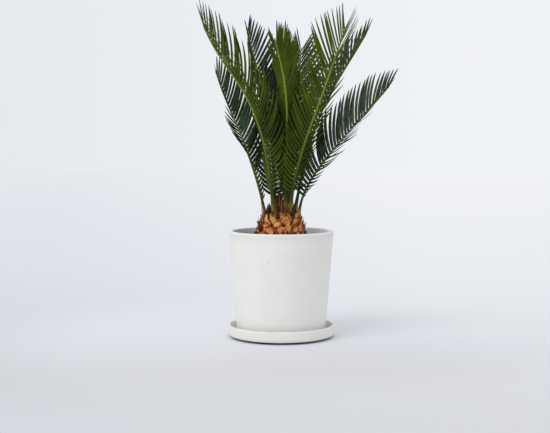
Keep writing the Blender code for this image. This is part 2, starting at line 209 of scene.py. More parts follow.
stoneware = new_material("matt_speckled_stoneware", "#e4e3df", 0.6, Specular_IOR_Level=0.4)
place = object_space()
x, _, height = split(place)
cloud = noise_in(place, 26.0, 5.0)
colour = ramp(cloud, (0.30, "#e8e6e1"), (0.70, "#eceae6"))
for spacing, share, radius, iron in ((0.005, 0.42, 0.13, "#a9a49b"),
                                     (0.019, 0.30, 0.062, "#5d544b")):
    colour = mix_colours(specks(place, spacing, share, radius), colour, iron)
# Painted shade: the glaze is darker towards the floor, over the saucer and the pot's foot.
painted_low_shade = rescale(height, 0.034, 0.018, most=0.09)
colour = mix_colours(painted_low_shade, colour, "#8f8c86")
# Greyer in narrow bands on and just under the rim's rounding.
grey_rim_bands = ramp(rescale(height, 0.150, 0.190), (0.18, "#1c1c1c"), (0.24, "#000000"),
                  (0.40, "#000000"), (0.50, "#3c3c3c"), (0.60, "#464646"), (0.68, "#646464"),
                  (0.77, "#5c5c5c"), (0.84, "#303030"))
colour = mix_colours(grey_rim_bands, colour, "#8f8f93")
# Painted shadow: the saucer's foot, under its wall, is near black.
painted_foot_shadow = rescale(height, 0.0038, 0.0030)
colour = mix_colours(painted_foot_shadow, colour, "#4a4440")
# On the inner wall, painted light and shade: cool grey on the left, bluish white on the right.
inside = rescale(from_axis(place), 0.0850, 0.0838)
inner_wall = maths("MULTIPLY", inside, maths("GREATER_THAN", height, 0.155))
painted_inner_light_shade = ramp(rescale(x, -0.08, 0.08), (0.10, "#c2c7cd"), (0.90, "#f6f8ff"))
paint(mix_colours(inner_wall, colour, painted_inner_light_shade))
roughen(noise_in(place, 900.0, 3.0), 0.18, 0.0004)
print("material:", stoneware.name)

# %% [markdown]
# ## Throwing a form
# A pot is turned, so it is built here the way a potter pulls up a wall: a ring is extruded again
# and again, each time moved to the next height and resized to the next radius of the section.
# Each corner of the section is a few points, and a Subdivision Surface, applied, rounds them.


# %% Helpers for modelling
def nothing_selected():
    if bpy.context.mode != "OBJECT":
        bpy.ops.object.mode_set(mode="OBJECT")
    bpy.ops.object.select_all(action="DESELECT")


def take(obj):
    """obj alone is selected and active."""
    nothing_selected()
    obj.select_set(True)
    bpy.context.view_layer.objects.active = obj


def flat_circle(name, sides, radius, fill="NGON"):
    """A level circle round the origin, with or without a face in it."""
    nothing_selected()
    bpy.ops.mesh.primitive_circle_add(vertices=sides, radius=radius, fill_type=fill,
                                      location=(0, 0, 0))
    obj = bpy.context.object
    obj.name = obj.data.name = name
    return obj


def edit_all():
    """Edit mode, with the whole mesh selected."""
    bpy.ops.object.mode_set(mode="EDIT")
    bpy.ops.mesh.select_all(action="SELECT")


def smooth_below(obj, angle):
    """Smooth faces, but edges sharper than this many degrees stay crisp."""
    take(obj)
    bpy.ops.object.shade_smooth_by_angle(angle=math.radians(angle))


def pull_ring(old, new):
    """The selected ring of radius and height old becomes the next one."""
    bpy.ops.mesh.extrude_region_move(TRANSFORM_OT_translate={"value": (0, 0, new[1] - old[1])})
    ratio = new[0] / old[0]
    bpy.ops.transform.resize(value=(ratio, ratio, 1), center_override=(0, 0, 0))


def throw(name, section, hollow=False, sides=72, rounding=2):
    """A turned form from (radius, height) points. A hollow one has a ring as its section."""
    obj = flat_circle(name, sides, section[0][0], "NOTHING" if hollow else "NGON")
    edit_all()
    bpy.ops.transform.translate(value=(0, 0, section[0][1]))
    points = list(section) + ([section[0]] if hollow else [])
    for old, new in zip(points, points[1:]):
        pull_ring(old, new)
    bpy.ops.mesh.select_all(action="SELECT")
    bpy.ops.mesh.remove_doubles(threshold=0.00001)
    bpy.ops.mesh.normals_make_consistent(inside=False)
    bpy.ops.object.mode_set(mode="OBJECT")
    take(obj)
    if rounding:
        smooth = obj.modifiers.new("rounding", "SUBSURF")
        smooth.levels = smooth.render_levels = rounding
        bpy.ops.object.modifier_apply(modifier=smooth.name)
    bpy.ops.object.shade_smooth()
    return obj


def finish_piece(obj, node):
    """The piece stands for this node, whose part is hidden, and rides on the root body."""
    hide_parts(node)
    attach(obj, "root")
    print(obj.name, "faces:", len(obj.data.polygons))


print("modelling helpers ready")

# %% [markdown]
# ## The saucer
# A shallow dish with a foot ring set in a little, a nearly upright wall and a rounded lip. It is
# thrown as one solid: a disc pulled out over the foot, up the wall, over the lip and back in to
# the floor.

# %% The saucer
SAUCER_FLOOR = 0.006
SAUCER_SECTION = (
    (0.0700, 0.0), (0.0800, 0.0), (0.0822, 0.0002), (0.0832, 0.0014), (0.0838, 0.0028),
    (0.0850, 0.0033), (0.0890, 0.0035), (0.0909, 0.0046), (0.0918, 0.0080), (0.0914, 0.0150),
    (0.0909, 0.0200), (0.0902, 0.0216), (0.0893, 0.0220), (0.0884, 0.0216), (0.0876, 0.0200),
    (0.0868, 0.0150), (0.0856, 0.0080), (0.0848, 0.0063), (0.0830, SAUCER_FLOOR),
    (0.0700, SAUCER_FLOOR),
)
saucer = throw("glazed_saucer", SAUCER_SECTION)
saucer.data.materials.append(stoneware)
finish_piece(saucer, "saucer")

# %% [markdown]
# ## The pot
# A tapered cylinder with a thick wall, a softly rounded rim and a drainage hole. Its section is
# a closed ring, so the last ring comes back onto the first and the doubles are merged.

# %% The pot
POT_BASE = SAUCER_FLOOR + 0.0003
POT_FLOOR_TOP = 0.018
POT_HOLE = 0.008
POT_SECTION = (
    (POT_HOLE, POT_BASE), (0.0720, POT_BASE), (0.0745, 0.0065), (0.0758, 0.0076),
    (0.0766, 0.0105), (0.0770, 0.0200), (0.0797, 0.0520), (0.0828, 0.0900), (0.0860, 0.1300),
    (0.0886, 0.1620), (0.0891, 0.1690), (0.0894, 0.1715), (0.0899, 0.1780), (0.0899, 0.1808),
    (0.0894, 0.1825), (0.0880, 0.1832), (0.0842, 0.1832), (0.0828, 0.1826), (0.0821, 0.1810),
    (0.0817, 0.1770), (0.0810, 0.1690), (0.0770, 0.1250), (0.0730, 0.0800), (0.0690, 0.0270),
    (0.0668, 0.0200), (0.0625, POT_FLOOR_TOP), (POT_HOLE, POT_FLOOR_TOP),
)
pot = throw("glazed_pot", POT_SECTION, hollow=True)
pot.data.materials.append(stoneware)
finish_piece(pot, "pot")

# %% [markdown]
# ## Potting mix
# Cycads are potted in a gritty mix of bark, peat and a little pumice. It looks nearly black where
# it is damp, with brown crumbs of bark and a few pale grains. The material gives the colours in
# patches of a few millimetres, and real crumbs on top give the shapes and shadows.

# %% Potting mix
potting_mix = new_material("damp_bark_potting_mix", "#33261d", 0.92, Specular_IOR_Level=0.25)
place = object_space()
patches = add_node("TexVoronoi", [("Vector", place), ("Scale", 330.0)])
chance = red_of(patches.outputs["Color"])
paint(ramp(chance, (0.0, "#1e1611"), (0.4, "#3a2a1e"), (0.72, "#5a4029"), (0.93, "#6d5236"),
           (0.97, "#a89a83"), interpolation="CONSTANT"))
roughen(noise_in(place, 700.0, 5.0), 0.8, 0.0012)
print("material:", potting_mix.name)

# %% [markdown]
# ## The soil
# The mix fills the pot to 23 mm below the rim. Its body is turned like the pot, then its top is
# cut finer and each point of it is lifted by smooth noise. Three hundred crumbs, copies of one
# knocked-about sphere, are pressed into it.


# %% The soil
def join_all(name, objects):
    """One object out of several; the first one's materials come first."""
    nothing_selected()
    for obj in objects:
        obj.select_set(True)
    bpy.context.view_layer.objects.active = objects[0]
    bpy.ops.object.join()
    joined = bpy.context.view_layer.objects.active
    joined.name = joined.data.name = name
    return joined


SOIL_TOP = 0.1600
SOIL_SECTION = (
    (0.0600, 0.0183), (0.0645, 0.0192), (0.0678, 0.0262), (0.0720, 0.0800), (0.0760, 0.1240),
    (0.0792, 0.1580),
    *((radius, SOIL_TOP) for radius in (
        0.0780, 0.0740, 0.0690, 0.0640, 0.0590, 0.0540, 0.0490, 0.0440, 0.0405)),
    (0.0390, 0.1520),
)
soil = throw("potting_soil", SOIL_SECTION, sides=96, rounding=0)
for vertex in soil.data.vertices:
    reach = math.hypot(vertex.co.x, vertex.co.y)
    if vertex.co.z > SOIL_TOP - 0.0001 and 0.0400 < reach < 0.0785:
        swell, grain = noise.noise(vertex.co * 90), noise.noise(vertex.co * 260)
        vertex.co.z += 0.0016 * swell + 0.0011 * grain
soil.data.materials.append(potting_mix)

nothing_selected()
bpy.ops.mesh.primitive_ico_sphere_add(subdivisions=1, radius=1.0, location=(0, 0, 0))
crumb = bpy.context.object
for vertex in crumb.data.vertices:
    vertex.co *= 1 + 0.35 * noise.noise(vertex.co * 1.7)
chooser = random.Random(11)
crumbs = []
for k in range(300):
    angle = chooser.uniform(0, 2 * math.pi)
    reach = math.sqrt(chooser.uniform(0.0445**2, 0.0765**2))
    size = chooser.uniform(0.0008, 0.0021) if k % 9 else chooser.uniform(0.0022, 0.0034)
    turn = Matrix.Rotation(chooser.uniform(0, 6.28), 4, "Z")
    turn = turn @ Matrix.Rotation(chooser.uniform(0, 6.28), 4, "X")
    shape = Matrix.Diagonal((size * 1.3, size, size * 0.62, 1))
    at = Vector((reach * math.cos(angle), reach * math.sin(angle), SOIL_TOP + size * 0.25))
    mesh = crumb.data.copy()
    mesh.transform(Matrix.Translation(at) @ turn @ shape)
    crumbs.append(put_in_scene(f"crumb_{k:03d}", mesh))
bpy.data.objects.remove(crumb)
soil = join_all("potting_soil", [soil] + crumbs)
finish_piece(soil, "soil")

# %% [markdown]
# ## Bending a straight model along a path
# Fronds, leaflets and dry scales are all long and thin. Each is modelled once, straight, from x 0
# to 1, with its width along y and its thickness along z. A copy is then laid along a path: at
# each x the path gives a point, a direction across and a direction through, and the half width
# and half thickness there. The file keeps a real mesh for each copy, and no two need be alike.


# %% Straight models and how they are laid
def straight_blade(name, section, stations, slots):
    """Section points (y, z) extruded to each (x, width, thickness), closed to a tip at x 1."""
    obj = flat_circle(name, len(section), 1.0)
    for vertex, (y, z) in zip(obj.data.vertices, section[::-1]):
        vertex.co = (0.0, y, z)
    edit_all()
    last = (0.0, 1.0, 1.0)
    for x, wide, thick in stations:
        bpy.ops.mesh.extrude_region_move(TRANSFORM_OT_translate={"value": (x - last[0], 0, 0)})
        if wide == 0:
            bpy.ops.mesh.merge(type="CENTER")
            break
        bpy.ops.transform.resize(value=(1, wide / last[1], thick / last[2]),
                                 center_override=(0, 0, 0))
        last = (x, wide, thick)
    bpy.ops.mesh.select_all(action="SELECT")
    bpy.ops.mesh.normals_make_consistent(inside=False)
    bpy.ops.object.mode_set(mode="OBJECT")
    along_map = obj.data.uv_layers.new(name="blade")
    for loop in obj.data.loops:
        co = obj.data.vertices[loop.vertex_index].co
        along_map.data[loop.index].uv = (co.x, 0.5 + 0.5 * co.y)
    for material in slots:
        obj.data.materials.append(material)
    return obj


def laid(name, model, path, flip=False):
    """A copy of the model along the path, a function of x that gives point, across, through,
    half width and half thickness."""
    mesh, rows = model.data.copy(), {}
    for vertex in mesh.vertices:
        x, y, z = vertex.co
        key = round(x, 4)
        if key not in rows:
            rows[key] = path(x)
        point, across, through, wide, deep = rows[key]
        vertex.co = point + across * (-y if flip else y) * wide + through * z * deep
    return put_in_scene(name, mesh)


def along(values, x):
    """A smooth curve through equally spaced values, at x from 0 to 1."""
    last = len(values) - 1
    place = min(max(x, 0.0), 1.0) * last
    k = min(int(place), last - 1)
    t = place - k
    a, b, c, d = (values[min(max(j, 0), last)] for j in (k - 1, k, k + 1, k + 2))
    return 0.5 * (2 * b + (c - a) * t + (2 * a - 5 * b + 4 * c - d) * t**2
                  + (3 * b - a - 3 * c + d) * t**3)


def direction(lean, head):
    """The unit vector that leans so many degrees from upright towards a bearing."""
    lean, head = math.radians(lean), math.radians(head)
    return Vector((math.sin(lean) * math.cos(head), math.sin(lean) * math.sin(head),
                   math.cos(lean)))


def at_bearing(bearing, radius, z):
    """The point at a bearing in degrees, a distance from the axis and a height."""
    bearing = math.radians(bearing)
    return Vector((radius * math.cos(bearing), radius * math.sin(bearing), z))


def level_across(bearing):
    """The level unit vector square to a bearing."""
    bearing = math.radians(bearing)
    return Vector((-math.sin(bearing), math.cos(bearing), 0))


def turned(first, second, angle):
    """Two directions square to each other, turned in their plane by an angle in radians."""
    return (first * math.cos(angle) + second * math.sin(angle),
            second * math.cos(angle) - first * math.sin(angle))


print("half way along 1, 4, 2:", along((1, 4, 2), 0.5))

# %% [markdown]
# ## Dry scales and wool
# Between its fronds a cycad grows scale leaves: short brown spikes that protect the bud, woolly
# at first, then dry and papery. They are dull and streaked lengthwise, from nearly black-brown to
# tan, so the material stretches its noise along the blade's UV map. The bud itself is covered
# with brown wool, with a deeper, softer bump and a little sheen, and the youngest scales round it
# are woolly at the foot and paler towards the tip.


# %% Dry scale and wool materials
def map_axes(name):
    """The two numbers of a UV map."""
    return split(add_node("UVMap", uv_map=name).outputs["UV"])[:2]


dry_scale = new_material("dry_scale_leaf", "#6b3f25", 0.8, Specular_IOR_Level=0.3)
blade_uv = add_node("UVMap", uv_map="blade").outputs["UV"]
streak_space = vector_maths("MULTIPLY", blade_uv, (2.0, 14.0, 1.0))
streak_space = vector_maths("MULTIPLY_ADD", object_space(), (60.0, 60.0, 20.0), streak_space)
streaks = noise_in(streak_space, 1.6, 3.0)
paint(ramp(streaks, (0.30, "#30170f"), (0.45, "#5e2f1b"), (0.58, "#86502d"), (0.72, "#b0875a")))
roughen(streaks, 0.6, 0.0006)

bud_wool = new_material("brown_bud_wool", "#4a3826", 0.95, Specular_IOR_Level=0.15,
                        Sheen_Weight=0.25, Sheen_Roughness=0.5)
tuft_space = vector_maths("MULTIPLY", object_space(), (1.0, 1.0, 0.25))
tufts = noise_in(tuft_space, 620.0, 4.0)
paint(ramp(tufts, (0.34, "#1c120a"), (0.50, "#35261a"), (0.68, "#5e4a32")))
roughen(tufts, 0.8, 0.0012)

woolly_scale = new_material("woolly_scale_leaf", "#3a2513", 0.9, Specular_IOR_Level=0.15)
length, _ = map_axes("blade")
mottle = noise_in(object_space(), 260.0, 4.0)
ripe = maths("MULTIPLY_ADD", length, 0.25, mottle)
paint(ramp(ripe, (0.34, "#160e08"), (0.52, "#2c1c10"), (0.68, "#4c331d"), (0.90, "#7d6038")))
roughen(mottle, 0.8, 0.0008)
print("materials:", dry_scale.name, bud_wool.name, woolly_scale.name)

# %% [markdown]
# ## The scale leaves
# One straight spike with a hollowed face, laid along each scale leaf's own curve: its foot on the
# crown, and its lean going from one angle at the foot to another at the tip.

# %% The scale leaves
SPIKE_SECTION = ((-1.0, 0.35), (-0.5, -0.25), (0.5, -0.25), (1.0, 0.35), (0.45, 1.0), (-0.45, 1.0))
spike = straight_blade("spike", SPIKE_SECTION, (
    (0.10, 1.0, 1.0), (0.25, 0.96, 0.95), (0.42, 0.84, 0.85), (0.58, 0.66, 0.7),
    (0.74, 0.44, 0.5), (0.88, 0.22, 0.3), (1.0, 0.0, 0.0)), [dry_scale])
smooth_below(spike, 60)

CROWN_TOP, CROWN_CURVE = 0.2205, 15.0
SUNK = 0.0008  # how far a spike's foot is under the surface


def crown_height(radius):
    return CROWN_TOP - CROWN_CURVE * radius * radius


def crown_point(bearing, radius):
    """A place on the crown, by bearing and distance from the axis, a little under its surface."""
    return at_bearing(bearing, radius, crown_height(radius) - SUNK)


# name: bearing and distance of the foot, length, lean at foot and tip, bearing it leans to, width
SCALE_LEAVES = {
    "scale_leaf_01": (204, 0.0320, 0.034, 20, -2, 196, 0.0030),
    "scale_leaf_02": (196, 0.0250, 0.016, 12, 20, 190, 0.0036),
    "scale_leaf_03": (252, 0.0300, 0.026, 6, 2, 262, 0.0044),
    "scale_leaf_04": (272, 0.0250, 0.030, 4, 0, 262, 0.0046),
    "scale_leaf_05": (282, 0.0310, 0.022, 10, 2, 286, 0.0044),
    "scale_leaf_06": (262, 0.0160, 0.034, 4, 2, 250, 0.0042),
    "scale_leaf_07": (330, 0.0310, 0.024, 8, 2, 330, 0.0036),
    "scale_leaf_08": (338, 0.0240, 0.026, 6, 0, 330, 0.0036),
    "scale_leaf_09": (8, 0.0325, 0.016, 16, -30, 5, 0.0028),
    "scale_leaf_10": (40, 0.0320, 0.022, 14, 4, 42, 0.0040),
    "scale_leaf_11": (80, 0.0310, 0.024, 12, 4, 80, 0.0044),
    "scale_leaf_12": (148, 0.0310, 0.024, 14, 6, 150, 0.0044),
}
SPIKE_PARTS = 12  # steps that a spike's curve is walked in


def spike_path(foot, length, lean0, lean1, head, width):
    across = level_across(head)

    def path(x):
        point = foot
        for j in range(SPIKE_PARTS):
            step = x * (j + 0.5) / SPIKE_PARTS
            way = direction(lean0 + (lean1 - lean0) * step, head)
            point = point + way * length * x / SPIKE_PARTS
        forward = direction(lean0 + (lean1 - lean0) * x, head)
        return point, across, across.cross(forward), width / 2, width / 5

    return path


for name, (bearing, radius, *values) in SCALE_LEAVES.items():
    scale = laid("dry_" + name, spike, spike_path(crown_point(bearing, radius), *values))
    finish_piece(scale, name)

# %% [markdown]
# ## Leaf bases and fibre
# A cycad's stem is armoured with the stubs of its old fronds. Each is a flat, hard shield, straw
# to orange where it is worn and reddish brown, nearly black, round its torn edge; the youngest,
# at the top, still have green in them. The pattern is laid out on each stub by its own UV map,
# whose two numbers run from side to side and from foot to tip, so a distance from the middle
# gives the dark rim. Coarse noise, 7 mm across, keeps any two from being alike, and a fine one
# stretched upwards gives the fibres.

# %% Leaf base material
leaf_base_bark = new_material("fibrous_leaf_base", "#a5692f", 0.7, Specular_IOR_Level=0.3)
place = object_space()
from_left, from_foot = map_axes("stub")
to_side = maths("MULTIPLY_ADD", from_left, 2.0, -1.0)
to_side = maths("ABSOLUTE", to_side)
to_tip = rescale(from_foot, 0.45, 1.0)
edge = maths("POWER", maths("MAXIMUM", to_side, to_tip), 4.0)
patchy = noise_in(place, 150.0, 5.0)
rim = maths("MULTIPLY_ADD", patchy, 2.2, edge)
straw = ramp(rescale(rim, 0.70, 2.20), (0.10, "#eab872"), (0.26, "#de9a4e"), (0.41, "#d4763c"),
             (0.57, "#a5421f"), (0.82, "#46170c"))
_, _, height = split(place)
young = rescale(height, 0.196, 0.214, most=0.8)
young = maths("MULTIPLY", young, noise_in(place, 75.0))
paint(mix_colours(young, straw, "#8a8432"))
strand_space = vector_maths("MULTIPLY", place, (1.0, 1.0, 0.22))
roughen(noise_in(strand_space, 1300.0, 3.0), 0.6, 0.001)
print("material:", leaf_base_bark.name)

# %% [markdown]
# ## One leaf base
# It starts as a cube cut into small faces. Seen from outside it becomes a pointed shield, widest
# a good third of the way up, slightly keeled, with its tip standing proud. It is modelled once in
# a unit space, x across, y up, z outwards, so that every copy can be given its own width, height
# and thickness.

# %% One leaf base
nothing_selected()
bpy.ops.mesh.primitive_cube_add(size=2.0, location=(0, 0, 0))
stub = bpy.context.object
edit_all()
bpy.ops.mesh.subdivide(number_cuts=3)
bpy.ops.object.mode_set(mode="OBJECT")
stub_map = stub.data.uv_layers.active
stub_map.name = "stub"
for loop in stub.data.loops:
    co = stub.data.vertices[loop.vertex_index].co
    stub_map.data[loop.index].uv = (0.5 + 0.5 * co.x, 0.5 + 0.5 * co.y)
WIDEST = 0.38  # of the stub's height


def shield(point):
    """From the cube, -1 to 1 each way, to x within 1, y from 0 to 1, z from about -0.4 to 1."""
    up = (point.y + 1) / 2
    if up < WIDEST:
        side = 0.80 + 0.20 * up / WIDEST
    else:
        side = (1 - (up - WIDEST) / (1 - WIDEST)) ** 0.70 * 0.84 + 0.16
    keel = (1 - 0.55 * abs(point.x)) * (0.30 + 0.70 * min(up / 0.85, 1.0) ** 1.5)
    out = keel * (1 + point.z) / 2 + (0.45 * up**2 - 0.4) * (1 - point.z) / 2
    return Vector((point.x * side, up, out))


for vertex in stub.data.vertices:
    vertex.co = shield(vertex.co)
smooth_below(stub, 35)
stub.data.materials.append(leaf_base_bark)
print("leaf base faces:", len(stub.data.polygons))

# %% [markdown]
# ## The caudex
# The swollen stem is a turned core with the stubs set on it. Nature sets each new one about 137.5
# degrees round from the last, which gives the crossing spirals of a pine cone; doing the same in
# a loop needs one angle and a slow climb. The lower stubs are broad and stand out, the upper ones
# are narrower and steeper. Between them stick out torn fibres, most of them half-rotted to the
# red-brown of the bases, and the dead tips of old bases, which stand off the stem like claws.
# Both are the dry spike again.

# %% The caudex
STEM_SIDE = ((0.150, 0.0380), (0.164, 0.0390), (0.175, 0.0382), (0.185, 0.0362),
             (0.195, 0.0334), (0.204, 0.0304))  # height, radius


def stem_radius(z):
    for (low, r0), (high, r1) in zip(STEM_SIDE, STEM_SIDE[1:]):
        if z <= high:
            return r0 + (r1 - r0) * (z - low) / (high - low)
    return STEM_SIDE[-1][1]


core_section = [(0.0150, 0.1280), (0.0300, 0.1350), (0.0380, 0.1490)]
core_section += [(radius - 0.0012, z) for z, radius in STEM_SIDE[1:]]
core_section += [(radius, crown_height(radius) - 0.0010)
                 for radius in (0.0280, 0.0220, 0.0150, 0.0080, 0.0030)]
caudex = throw("scaly_caudex", core_section, sides=48, rounding=1)
for name, corner_uv in (("stub", (0.9, 0.6)), ("blade", (0.5, 0.5))):
    for corner in caudex.data.uv_layers.new(name=name).data:
        corner.uv = corner_uv
caudex.data.materials.append(leaf_base_bark)

GOLDEN_ANGLE = 137.508
STUBS, FIBRES, CLAWS = 74, 110, 34
UNEVEN, TAPER_PACE = 0.35, 9000  # each stub tapers by up to so much, by its height on the stem
WARP_PACE, WARP = 170, 0.0016  # and its tip is warped
UPWARD = Vector((0, 0, 1))


def set_stub(name, bearing, foot, lean, turn, size):
    """A copy of the stub: it leans out by lean and turns on its face by turn, both in radians;
    size is (half width, height, depth)."""
    out = at_bearing(bearing, 1, 0)
    up = UPWARD * math.cos(lean) + out * math.sin(lean)
    face = out * math.cos(lean) - UPWARD * math.sin(lean)
    side, up = turned(level_across(bearing), up, turn)
    mesh = stub.data.copy()
    taper = UNEVEN * math.sin(foot.z * TAPER_PACE)
    for vertex in mesh.vertices:
        x, y, z = vertex.co
        x *= 1 - taper * y
        vertex.co = foot + side * x * size[0] + up * y * size[1] + face * z * size[2]
        vertex.co += noise.noise_vector(vertex.co * WARP_PACE) * WARP * y
    return put_in_scene(name, mesh)


def set_spike(name, bearing, z, proud, length, lean0, lean1, width, rotted=True):
    """A copy of the spike, its foot at this height and so far proud of the stem."""
    foot = at_bearing(bearing, stem_radius(z) + proud, z)
    copy = laid(name, spike, spike_path(foot, length, lean0, lean1, bearing, width))
    if rotted:
        copy.data.materials[0] = leaf_base_bark
    return copy


noise.seed_set(5)  # noise_vector would otherwise start from the clock
chooser = random.Random(5)
armour = []
for k in range(STUBS):
    share = k / (STUBS - 1)
    z = 0.1560 + 0.0460 * share
    bearing = k * GOLDEN_ANGLE % 360 + chooser.uniform(-4, 4)
    half_width = (0.0130 - 0.0040 * share) * chooser.uniform(0.7, 1.2)
    tall = (0.0228 - 0.0056 * share) * chooser.uniform(0.75, 1.15)
    depth = 0.0024 * chooser.uniform(0.75, 1.3)
    lean = math.radians(chooser.uniform(2, 20) - 18 * share)
    turn = math.radians(chooser.uniform(-36, 36))
    foot = at_bearing(bearing, stem_radius(z) - 0.0006, z)
    armour.append(set_stub(f"stub_{k:03d}", bearing, foot, lean, turn, (half_width, tall, depth)))
for k in range(FIBRES):
    share = k / (FIBRES - 1)
    armour.append(set_spike(
        f"fibre_{k:02d}", k * GOLDEN_ANGLE * 1.31 % 360, 0.1620 + 0.0380 * share, 0.0014,
        chooser.uniform(0.009, 0.0180), chooser.uniform(0, 50) - 14 * share,
        chooser.uniform(-34, 0), chooser.uniform(0.0016, 0.0036), rotted=bool(k % 3)))
for k in range(CLAWS):
    armour.append(set_spike(
        f"claw_{k:02d}", k * GOLDEN_ANGLE * 0.77 % 360, 0.1610 + 0.0300 * chooser.random(), 0.0012,
        chooser.uniform(0.010, 0.0155), chooser.uniform(48, 76), chooser.uniform(-40, -8),
        chooser.uniform(0.0034, 0.0052)))
caudex = join_all("scaly_caudex", [caudex] + armour)
finish_piece(caudex, "caudex")

# %% [markdown]
# ## The crown bud
# In the middle stands the next flush of fronds, still wrapped: a blunt cone of brown wool with
# narrow scale leaves pressed round it. The cone is turned and roughened; the scales are the same
# spike again, in three rings, and shorter ones fill the crown between the fronds. None grows
# where a frond has its foot.

# %% The crown bud
FROND_FEET = ((236, 0.022), (172, 0.027), (135, 0.015), (300, 0.014), (308, 0.023), (22, 0.024),
              (350, 0.029), (10, 0.012), (60, 0.023), (112, 0.026))  # bearing, distance
BUD_X, BUD_RADIUS, BUD_TOP = -0.003, 0.0068, 0.2500
BUD_FOOT = crown_height(0.006) - 0.001
BUD_SHAPE = ((0.60, 0.0), (0.88, 0.03), (0.98, 0.15), (0.98, 0.35), (0.84, 0.56), (0.60, 0.76),
             (0.34, 0.90), (0.12, 1.0))  # shares of the bud's radius and height
bud = throw("woolly_crown_bud",
            [(BUD_RADIUS * r, BUD_FOOT + (BUD_TOP - BUD_FOOT) * up) for r, up in BUD_SHAPE],
            sides=32, rounding=1)
for vertex in bud.data.vertices:
    away = Vector((vertex.co.x, vertex.co.y, 0))
    vertex.co += away * 0.22 * noise.noise(vertex.co * 420) + Vector((BUD_X, 0, 0))
bud.data.uv_layers.new(name="blade")
bud.data.materials.append(bud_wool)


def clear_of_feet(point, room):
    return all(math.hypot(point.x - r * math.cos(math.radians(a)),
                          point.y - r * math.sin(math.radians(a))) > room
               for a, r in FROND_FEET)


def wrap(foot, room, *values):
    """One woolly spike more, unless there is no room for its foot."""
    if clear_of_feet(foot, room):
        wraps.append(laid(f"wrap_{len(wraps):02d}", spike, spike_path(foot, *values)))
        wraps[-1].data.materials[0] = woolly_scale


chooser = random.Random(8)
wraps = []
# Ring: distance from the bud's axis, spikes in it, shortest and longest, least and most lean at
# the tip
RINGS = ((0.0062, 18, 0.026, 0.036, -24, -6), (0.0094, 24, 0.018, 0.032, -18, 4),
         (0.0125, 28, 0.014, 0.028, -14, 8))
FILLERS = 110
for radius, count, shortest, longest, tip0, tip1 in RINGS:
    for k in range(count):
        bearing = 360 * k / count + chooser.uniform(-8, 8)
        reach, angle = radius + chooser.uniform(-0.0008, 0.0012), math.radians(bearing)
        x, y = BUD_X + reach * math.cos(angle), reach * math.sin(angle)
        wrap(Vector((x, y, crown_height(math.hypot(x, y)) - SUNK)), 0.0042,
             chooser.uniform(shortest, longest), chooser.uniform(2, 12),
             chooser.uniform(tip0, tip1), bearing, chooser.uniform(0.0028, 0.0046))
for k in range(FILLERS):
    bearing = k * GOLDEN_ANGLE % 360
    wrap(crown_point(bearing, 0.0165 + 0.0155 * (k / (FILLERS - 1))), 0.0050,
         chooser.uniform(0.010, 0.022), chooser.uniform(2, 20), chooser.uniform(-14, 14),
         bearing, chooser.uniform(0.0030, 0.0058))
bud = join_all("woolly_crown_bud", [bud] + wraps)
finish_piece(bud, "crown_bud")

# %% [markdown]
# ## Leaflet and rachis
# A cycad leaflet is stiff and waxy. Its upper side is a deep bluish green with a soft gloss; the
# underside is a duller olive with a yellowish midrib, and both end in a straw-coloured spine. The
# blade's UV map says how far out a point is (first number) and how far across (second), which
# places the rib and the spine. Deep in the crown the undersides get painted shade, darker by the
# distance from the axis and the height. The rachis, the frond's own stem, goes from brown and
# ochre wool at its foot over dark olive to yellowish green.


# %% Leaf materials
def with_spine(length, colour):
    """The last twentieth of the blade turns straw-coloured."""
    return mix_colours(rescale(length, 0.94, 1.0, most=0.8), colour, "#9c8a4c")


def painted_crown_shade(place, colour, deep):
    """Painted shade on the leaflets in the middle of the crown, a little below half its height."""
    near = rescale(from_axis(place), 0.080, 0.052, most=0.66)
    _, _, height = split(place)
    level = ramp(height, (0.26, "#3c3c3c"), (0.33, "#d8d8d8"), (0.37, "#ffffff"),
                 (0.43, "#000000"))
    return mix_colours(maths("MULTIPLY", near, level), colour, deep)


upper_cuticle = new_material("waxy_leaflet_upper_side", "#1a3018", 0.40, Specular_IOR_Level=0.28)
length, _ = map_axes("blade")
bloom = noise_in(object_space(), 42.0, 3.0)
deep_green = ramp(bloom, (0.32, "#12240e"), (0.50, "#1b3318"), (0.68, "#284524"))
paint(with_spine(length, deep_green))

underside = new_material("olive_leaflet_underside", "#3e4e0c", 0.65, Specular_IOR_Level=0.1)
place = object_space()
length, across = map_axes("blade")
olive = ramp(noise_in(place, 42.0, 3.0), (0.32, "#303f07"), (0.50, "#3d4c0b"), (0.68, "#4f5f12"))
off_rib = maths("ABSOLUTE", maths("SUBTRACT", across, 0.5))
on_rib = rescale(off_rib, 0.16, 0.05, most=0.6)
ribbed = mix_colours(on_rib, olive, "#64742a")
# Painted shade darkens the undersides deep in the crown.
paint(with_spine(length, painted_crown_shade(place, ribbed, "#141d05")))

rachis_skin = new_material("rachis_skin", "#6c7a2a", 0.55, Specular_IOR_Level=0.18)
length, _ = map_axes("blade")
wander = noise_in(object_space(), 110.0, 3.0)
where = maths("MULTIPLY_ADD", wander, 0.05, length)
paint(ramp(where, (0.022, "#6e4520"), (0.046, "#8c8028"), (0.078, "#45471c"), (0.14, "#353a19"),
           (0.36, "#5c641c"), (0.75, "#82902a"), (1.0, "#76862a")))
roughen(wander, 0.3, 0.0006)
print("materials:", upper_cuticle.name, underside.name, rachis_skin.name)

# %% [markdown]
# ## One leaflet, one rachis
# The leaflet's section has a gently arched upper side with its edges rolled under, and a rib
# below. Its blade keeps its width for most of its length and then runs out to a point. The rachis
# has a shallow channel on top, between two ridges that carry the leaflets, and is rounded below.
# Both are modelled straight.

